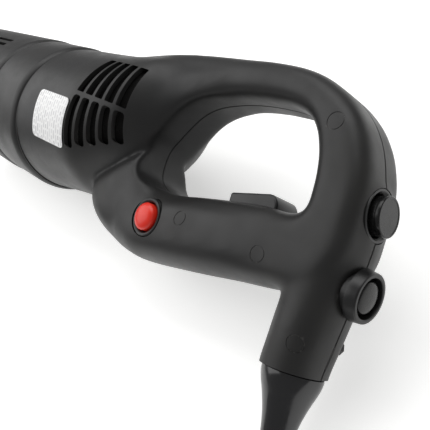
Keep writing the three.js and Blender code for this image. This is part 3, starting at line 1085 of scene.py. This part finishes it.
@dataclass
class HandleHousing:
    """The clamshell: the rear of the barrel, the bow, the bar and the post in two halves."""

    cell: float = 1.15
    cavity_cell: float = 2.0
    passes: int = 40
    half_width: float = 19.0
    edge_round: float = 9.0
    boss_radius: float = 5.0
    head_radius: float = 4.1
    shank_radius: float = 2.1
    head_level: float = -10.3
    groove: float = 0.28
    barrel: tuple[Section, ...] = sections(
        (-6, 0.6, 52.9, 52.9), (0.3, 1.0, 52.8, 52.8), (20, 2.8, 51.7, 51.7),
        (38, 4.3, 50.7, 50.7), (54, 5.6, 50, 50), (64, 6.8, 49.4, 48.6), (73, 10.2, 47.2, 45.9),
        (81.5, 14, 44.6, 43.6), (89.5, 17.2, 42.7, 41), (97.6, 20.8, 40.6, 37.4),
        (104, 24, 38.2, 32.8), (110, 28.5, 35, 28.4), (116, 33.5, 30.6, 25.2),
        (124, 40, 24.8, 22.6), (134, 45.5, 19.8, 21.1), (146, 50, 16, 20.1),
        (160, 53.5, 12.6, 19.2), (176, 56, 9.6, 17.6),
    )
    bar: tuple[Section, ...] = sections(
        (69, -29, 7, 12), (73, -31.5, 11, 17), (80, -34.4, 14.5, 21), (90, -34.8, 19.8, 24),
        (100, -32.7, 25.7, 25.2), (108, -30.1, 30.1, 24.6), (114, -29.6, 31.6, 24),
        (122, -34.8, 26.8, 24.6), (138, -40.2, 21.1, 25), (160, -36, 20.4, 24),
        (182, -30.7, 20.2, 22.6), (204, -25.4, 19.7, 21.2), (226, -20.8, 19, 19.4),
        (246, -17, 17, 17.6),
    )
    post: tuple[Section, ...] = sections(
        (30, 240.6, 13.2, 16.2), (21, 247, 14.8, 17.6), (8, 249.8, 15.4, 18),
        (-6, 251.2, 15.8, 18.1), (-24, 252.3, 16, 18.1), (-42, 253.3, 15.6, 17.6, 3),
        (-56, 254.3, 15.1, 17, 8), (-65, 254.9, 14.8, 16.6, 11), (-76, 257, 14.6, 16.4, 11),
    )
    outline: tuple[Point, ...] = (
        (42, 48), (60, 54.5), (78, 58.2), (105, 62), (130, 63.9), (152, 64.9), (192, 66.0),
        (208, 64.5), (222, 60.4), (236, 53.3), (247, 43.8), (255, 32.6), (260.5, 20), (263.5, 4),
        (264.5, -14), (256, -30), (229, -37.4), (205, -43.4), (178, -50.6), (152, -57.8),
        (134, -60.8), (118, -60.4), (104, -57), (92, -51), (80, -42), (64, -33), (42, -20),
    )
    opening: tuple[Point, ...] = (
        (112.4, 4), (116.2, 11.4), (121, 20), (126, 27.4), (132, 33.2), (140, 37.7), (150, 41),
        (162, 43.7), (176, 45.6), (190, 46.3), (203, 46), (213, 43.3), (221, 37.6), (227.2, 29),
        (231.4, 19.6), (234.2, 8), (234.6, 1.6), (231, -1.4), (212, -4.2), (190, -8.4),
        (168, -13.4), (150, -17.8), (138, -19.2), (124, -18.7), (116, -14.6), (112.6, -7),
    )
    screws: tuple[Point, ...] = (
        (26, 38), (28, -34), (235, 41.7), (263, -50), (126, -42), (225.7, -26.5),
    )
    boss_marks: tuple[Triple, ...] = (
        (234.6, 41.7, 3.9), (260.2, -52.7, 3.3), (225.0, -26.4, 3.6), (170.6, -28.1, 3.6),
    )
    mark_width: float = 0.55
    mark_depth: float = 0.22
    post_floor: float = -62.0
    inlet_start: float = 62.2
    inlet_pitch: float = 8.1
    inlet_width: float = 6.2

    def flat(
        self, outlines: Sequence[Sequence[Point]], half_width: float, edge_round: float, grow: float
    ) -> Solid:
        """Makes a flat solid from smooth closed outlines, the later ones being holes.

        Args:
            outlines: the outlines' knots.
            half_width: half its width along Z.
            edge_round: radius of its edges.
            grow: distance that its outer skin is moved out, or in if negative.

        Returns:
            The solid.
        """
        curve = bpy.data.curves.new("flat", "CURVE")
        curve.dimensions = "2D"
        curve.fill_mode = "BOTH"
        for points in outlines:
            spline = curve.splines.new("BEZIER")
            spline.bezier_points.add(len(points) - 1)
            for knot, (x, y) in zip(spline.bezier_points, points, strict=True):
                knot.co = (x, y, 0.0)
                knot.handle_left_type = knot.handle_right_type = "AUTO"
            spline.use_cyclic_u = True
            spline.resolution_u = 6
        curve.extrude = half_width - edge_round
        curve.bevel_depth = edge_round
        curve.bevel_resolution = 5
        curve.offset = grow - edge_round
        plate = shown("flat", curve)
        graph = bpy.context.evaluated_depsgraph_get()
        mesh = bpy.data.meshes.new_from_object(plate.evaluated_get(graph))
        bpy.data.objects.remove(plate)
        shape = drawn(mesh)
        face_out(shape)
        return shape

    def clear_of_hand(self, shape: Solid, inset: float) -> Solid:
        """Cuts the hand opening out of a loft.

        Args:
            shape: the loft, which is freed.
            inset: wall thickness that the cut also takes.

        Returns:
            The trimmed loft.
        """
        prism = blank(self.flat([self.opening], 80.0, 0.0, inset))
        trimmed = cut(blank(shape), prism, Cut.TAKE_AWAY)
        made = drawn(trimmed.data)
        bpy.data.objects.remove(trimmed)
        return made

    def volume(self, inset: float) -> list[Solid]:
        """Makes the lofts and the plate that the housing is fused from.

        Args:
            inset: distance that every skin is moved in, 0 for the outside.

        Returns:
            The overlapping solids.
        """
        barrel, bar, post = (
            [s.inset(inset) for s in eased(rows)] for rows in (self.barrel, self.bar, self.post)
        )
        if inset:
            post = [s for s in post if s.along > self.post_floor]
        edge = self.edge_round - (WALL_ROUND_LOSS if inset else 0.0)
        return [
            self.clear_of_hand(loft(barrel, Run.MOTOR), inset),
            self.clear_of_hand(loft(bar, Run.MOTOR, BAR_SQUARENESS, 64), inset),
            loft(post, Run.POST, POST_SQUARENESS, 64),
            self.flat([self.outline, self.opening], self.half_width - inset, edge, -inset),
        ]

    def seamed(self, piece: Piece) -> Piece:
        """Sinks a fine groove where the halves meet.

        Args:
            piece: the fused housing.

        Returns:
            The same object.
        """
        shape = drawn(piece.data)
        for height in (-0.9, -0.35, 0.35, 0.9):
            bmesh.ops.bisect_plane(
                shape, geom=shape.verts[:] + shape.edges[:] + shape.faces[:], dist=1e-4,
                plane_co=(0, 0, height), plane_no=(0, 0, 1),
            )
        shape.normal_update()
        for vert in shape.verts:
            if abs(vert.co.z) < 0.5:
                inwards = Vector((vert.normal.x, vert.normal.y, 0.0))
                vert.co -= inwards * self.groove
        shape.to_mesh(piece.data)
        shape.free()
        return piece

    def marked(self, piece: Piece) -> Piece:
        """Sinks a shallow ring round each screw boss on the outside of the left half.

        Args:
            piece: the left half.

        Returns:
            The same object.
        """
        rings = []
        for x, y, inner in self.boss_marks:
            outer = inner + self.mark_width
            pipe = [(8.0, inner), (8.0, outer), (60.0, outer), (60.0, inner)]
            rings.append(aimed(turned(pipe, 48), (x, y, 0.0), (0.0, 0.0, 1.0)))
        tubes = gathered(rings)
        spare = copied(tubes)
        lowered = copied(piece)
        lowered.data.transform(Matrix.Translation((0.0, 0.0, -self.mark_depth)))
        cut(lowered, spare, Cut.KEEP_SHARED)
        cut(piece, tubes, Cut.TAKE_AWAY)
        return cut(piece, lowered, Cut.JOIN)

    def inlets(self) -> list[Solid]:
        """Makes the cutters for the air inlets: five slots in two rows, through both sides."""
        cutters = []
        for column in range(5):
            start = self.inlet_start + self.inlet_pitch * column
            end = start + self.inlet_width
            cutters.append(block((start, 15.2, -70), (end, 42.3, 70), 0.9))
            cutters.append(block((start, -19.8 + 3.7 * column, -70), (end, 12.6, 70), 2.0))
        return cutters

    def pockets(self, boot: CableBoot, trigger: TriggerUnit) -> list[Solid]:
        """Makes the cutters for the buttons, the screws, the trigger and the two open ends.

        Args:
            boot: the cable boot, which the post's end is square to.
            trigger: the trigger unit.

        Returns:
            The cutters.
        """
        way = Vector(boot.direction())
        end = Vector(boot.start) - way * GAP
        cutters = [bored(button.pocket, button.place, button.direction) for button in BUTTONS]
        cutters += [trigger.slot(), block((-30, -80, -80), (GAP, 80, 80))]
        cutters.append(bored([(-4, 0, 11.5), (0, 40, 40)], end, way))
        level = -self.head_level
        well = [(-9.4, level, self.shank_radius), (level, 60, self.head_radius)]
        cutters += [bored(well, (x, y, 0), FAR_SIDE, 32) for x, y in self.screws]
        return cutters

    def hollow(self) -> Piece:
        """Makes the inside of the housing, less the screw bosses.

        Returns:
            The cavity in the motor's frame.
        """
        cavity = fused(gathered(self.volume(WALL)), self.cavity_cell, 2)
        boss = [(-60, 60, self.boss_radius + 1.2)]
        bosses = [bored(boss, (x, y, 0), FAR_SIDE, 32) for x, y in self.screws]
        return cut(cavity, gathered(bosses), Cut.TAKE_AWAY)

    def build(self, shop: Workshop, boot: CableBoot, trigger: TriggerUnit) -> None:
        """Makes both halves.

        Args:
            shop: the workshop.
            boot: the cable boot.
            trigger: the trigger unit.
        """
        whole = self.seamed(fused(gathered(self.volume(0.0)), self.cell, self.passes))
        cut(whole, self.hollow(), Cut.TAKE_AWAY)
        for cutter in self.inlets() + self.pockets(boot, trigger):
            cut(whole, blank(cutter), Cut.TAKE_AWAY)
        for side in Side:
            half = one_side(whole, side, (-60, -120, GAP / 2), (330, 120, 90))
            if side is Side.LEFT:
                self.marked(half)
            name = side.name.lower()
            shop.finish(
                half, f"clamshell_{name}", shop.finishes.housing, "housing_plastic",
                [f"handle_shell_{name}"],
            )
        bpy.data.objects.remove(whole)

    def jacket(
        self, span: Point, outer: float, inner: float, ends: Point, sides: int = ROUND
    ) -> Piece:
        """Makes a thin sleeve that follows the barrel.

        Args:
            span: the sections taken, by where they start and end along the motor.
            outer: how far its outside lies inside the housing's skin.
            inner: how far its bore lies inside it.
            ends: where the bore starts and ends.
            sides: the number of corners of each section.

        Returns:
            The sleeve.
        """
        rows = [s for s in eased(self.barrel) if span[0] < s.along < span[1]]
        core = [s.inset(inner) for s in rows]
        first = Section(ends[0], *core[0].fields()[1:])
        last = Section(ends[1], *core[-1].fields()[1:])
        sleeve = blank(loft([s.inset(outer) for s in rows], Run.MOTOR, sides=sides))
        bore = blank(loft([first, *core, last], Run.MOTOR, sides=sides))
        return cut(sleeve, bore, Cut.TAKE_AWAY)

    def screens(self, shop: Workshop) -> None:
        """Makes the dust screens behind the air inlets, near black so that they also paint the
        shade inside the inlets.

        Args:
            shop: the workshop.
        """
        whole = self.jacket((56, 106), WALL + 0.9, WALL + 1.5, (50, 110))
        for side in Side:
            half = one_side(whole, side, (50, -26, 16), (110, 44, 70))
            name = f"dust_screen_{side.name.lower()}"
            shop.finish(half, name, shop.finishes.screen, "black_plastic")
        bpy.data.objects.remove(whole)

    def label(self, shop: Workshop) -> None:
        """Makes the printed label on the barrel.

        Args:
            shop: the workshop.
        """
        skin = self.jacket((14, 76), -0.6, -0.28, (0, 90), 200)
        cut(skin, blank(block((24, -22.5, 20), (61, 8.5, 80), 3.2)), Cut.KEEP_SHARED)
        shop.finish(skin, "printed_label", shop.finishes.film, "label", ["rating_label"])


@dataclass
class FrontEnd:
    """The cast nose with its ribs, and the socket that locks the flexible shaft on."""

    ribs: int = 8

    def build(self, shop: Workshop) -> None:
        """Makes the nose and the socket.

        Args:
            shop: the workshop.
        """
        x = COLLAR_FRONT
        nose = blank(turned([
            (x + 14, 14.6), (x + 14, 51.9), (x - GAP, 51.9), (x - GAP, 54.3), (x - 0.8, 54.6),
            (x - 2.4, 54.6), (x - 3.4, 53.8), (x - 8, 48.8), (x - 11, 41), (x - 13.6, 33),
            (x - 17, 28.6), (x - 22, 26), (x - 29.2, 25), (x - 29.8, 24.8), (x - 30, 24.2),
            (x - 30, 12), (x + 2, 12), (x + 2, 14.6),
        ], 128))
        for index in range(self.ribs):
            rib = softened(block((x - 26, 20, -1.6), (x - 3, 50, 1.6)), 0.6)
            drop = [v for v in rib.verts if v.co.y > 40 and v.co.x < x - 15]
            bmesh.ops.translate(rib, vec=(0, -22, 0), verts=drop)
            turn = Matrix.Rotation(FULL_TURN * index / self.ribs, 4, "X")
            cut(nose, blank(moved(rib, turn)), Cut.JOIN)
        shop.finish(nose, "nose_shield", shop.finishes.cast, "cast_aluminium", ["nose_casting"])
        start = x - 30 - GAP
        socket = blank(turned([
            (start, 12.6), (start, 19.2), (start - 0.5, 19.7), (start - 3, 20.4),
            (start - 13, 20.4), (start - 13.6, 20.1), (start - 14, 19.4), (start - 14, 15.4),
            (start - 4, 15.4), (start - 4, 12.6),
        ]))
        shop.finish(socket, "shaft_coupling", shop.finishes.steel, "steel", ["shaft_socket"])


@dataclass
class Internals:
    """The CAD nodes that stay as they are, with the finish of each."""

    nodes_of: dict[str, tuple[str, ...]] = field(default_factory=lambda: {
        "satin": ("switch_body", "cable_clamp"),
        "board": ("light_switch", "enable_switch", "power_switch"),
        "laminated": ("stator", "rotor_core"),
        "winding": (
            "field_winding_front", "field_winding_rear", "armature_winding_front",
            "armature_winding_rear",
        ),
        "copper": ("commutator",),
        "fan": ("fan",),
        "steel": ("spindle", "front_bearing", "rear_bearing"),
        "cast": ("rear_bracket",),
        "brass": ("brush_holder_upper", "brush_holder_lower"),
        "carbon": ("carbon_brush_upper", "carbon_brush_lower"),
        "blackened": tuple(f"shell_screw_{number}" for number in range(1, 7)),
    })

    def build(self, shop: Workshop) -> None:
        """Gives each node its finish.

        Args:
            shop: the workshop.
        """
        for finish, names in self.nodes_of.items():
            for name in names:
                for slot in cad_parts[name].material_slots:
                    slot.material = getattr(shop.finishes, finish)
                LOG.info("%s keeps its shape, in %s", name, finish)


@dataclass
class Studio:
    """The floor, the lights and the camera, with the camera given in the motor's frame."""

    lens: float = 46.635
    camera_at: Triple = (387.656, -7.758, 214.982)
    camera_right: Triple = (0.63259, 0.40199, -0.66199)
    camera_up: Triple = (-0.3088, 0.91478, 0.26041)
    camera_back: Triple = (0.71026, 0.03969, 0.70282)

    def camera(self, placing: Matrix) -> None:
        """Makes the camera.

        Args:
            placing: the matrix from the motor's frame to the world.
        """
        data = bpy.data.cameras.new("view")
        data.lens = self.lens
        data.sensor_width = 36.0
        data.clip_start = 0.01
        data.dof.use_dof = False
        eye = shown("view", data)
        turn = placing.to_3x3().normalized() @ Matrix(
            (self.camera_right, self.camera_up, self.camera_back)
        ).transposed()
        eye.matrix_world = Matrix.Translation(placing @ Vector(self.camera_at)) @ turn.to_4x4()
        bpy.context.scene.camera = eye

    def soft_box(self, name: str, at: Triple, target: Triple, size: Point, watts: float) -> None:
        """Makes a rectangular light.

        Args:
            name: its name.
            at: its place in metres.
            target: the place that it faces.
            size: its width and height in metres.
            watts: its power.
        """
        data = bpy.data.lights.new(name, "AREA")
        data.shape = "RECTANGLE"
        data.size, data.size_y = size
        data.energy = watts
        lamp = shown(name, data)
        lamp.location = at
        lamp.rotation_euler = (Vector(target) - Vector(at)).to_track_quat("-Z", "Y").to_euler()

    def build(self) -> None:
        """Makes the floor, the lights and the surroundings."""
        shape = bmesh.new()
        bmesh.ops.create_grid(shape, x_segments=8, y_segments=8, size=3.0)
        floor = blank(shape, "studio_floor")
        low, _ = CAD_BOX
        floor.location.z = low.z
        nodes = Nodes("pale_floor")
        nodes.set(
            Specular_IOR_Level=0.2, Emission_Strength=0.5, Emission_Color=(1.0, 1.0, 0.99, 1.0)
        )
        nodes.base(nodes.blend(nodes.noise(3.0), (0.86, 0.86, 0.855), (0.88, 0.88, 0.875)))
        nodes.rough(nodes.noise(40.0), 0.6, 0.75)
        floor.data.materials.append(nodes.material)
        world = bpy.data.worlds.new("studio")
        world.use_nodes = True
        sky = world.node_tree.nodes["Background"].inputs
        sky["Color"].default_value = (1.0, 1.0, 1.0, 1.0)
        sky["Strength"].default_value = 0.34
        bpy.context.scene.world = world
        middle = (0.05, 0.02, 0.05)
        self.soft_box("key_box", (-0.75, -0.3, 0.95), middle, (1.3, 1.3), 9.0)
        self.soft_box("top_box", (-0.05, 0.65, 1.1), middle, (1.1, 0.8), 7.5)
        bpy.context.scene.view_settings.view_transform = "Standard"


def main() -> None:
    """Builds the tool and its studio in order."""
    logging.basicConfig(level=logging.INFO, format="%(message)s")
    placing = motor_frame()
    studio = Studio()
    studio.camera(placing)
    shop = Workshop(placing, Finishes())
    boot = CableBoot()
    trigger = TriggerUnit()
    housing = HandleHousing()
    MotorBarrel().build(shop)
    housing.build(shop, boot, trigger)
    housing.screens(shop)
    housing.label(shop)
    for button in BUTTONS:
        button.build(shop)
    trigger.build(shop)
    boot.build(shop)
    FrontEnd().build(shop)
    Internals().build(shop)
    studio.build()


if __name__ == "__main__":
    main()
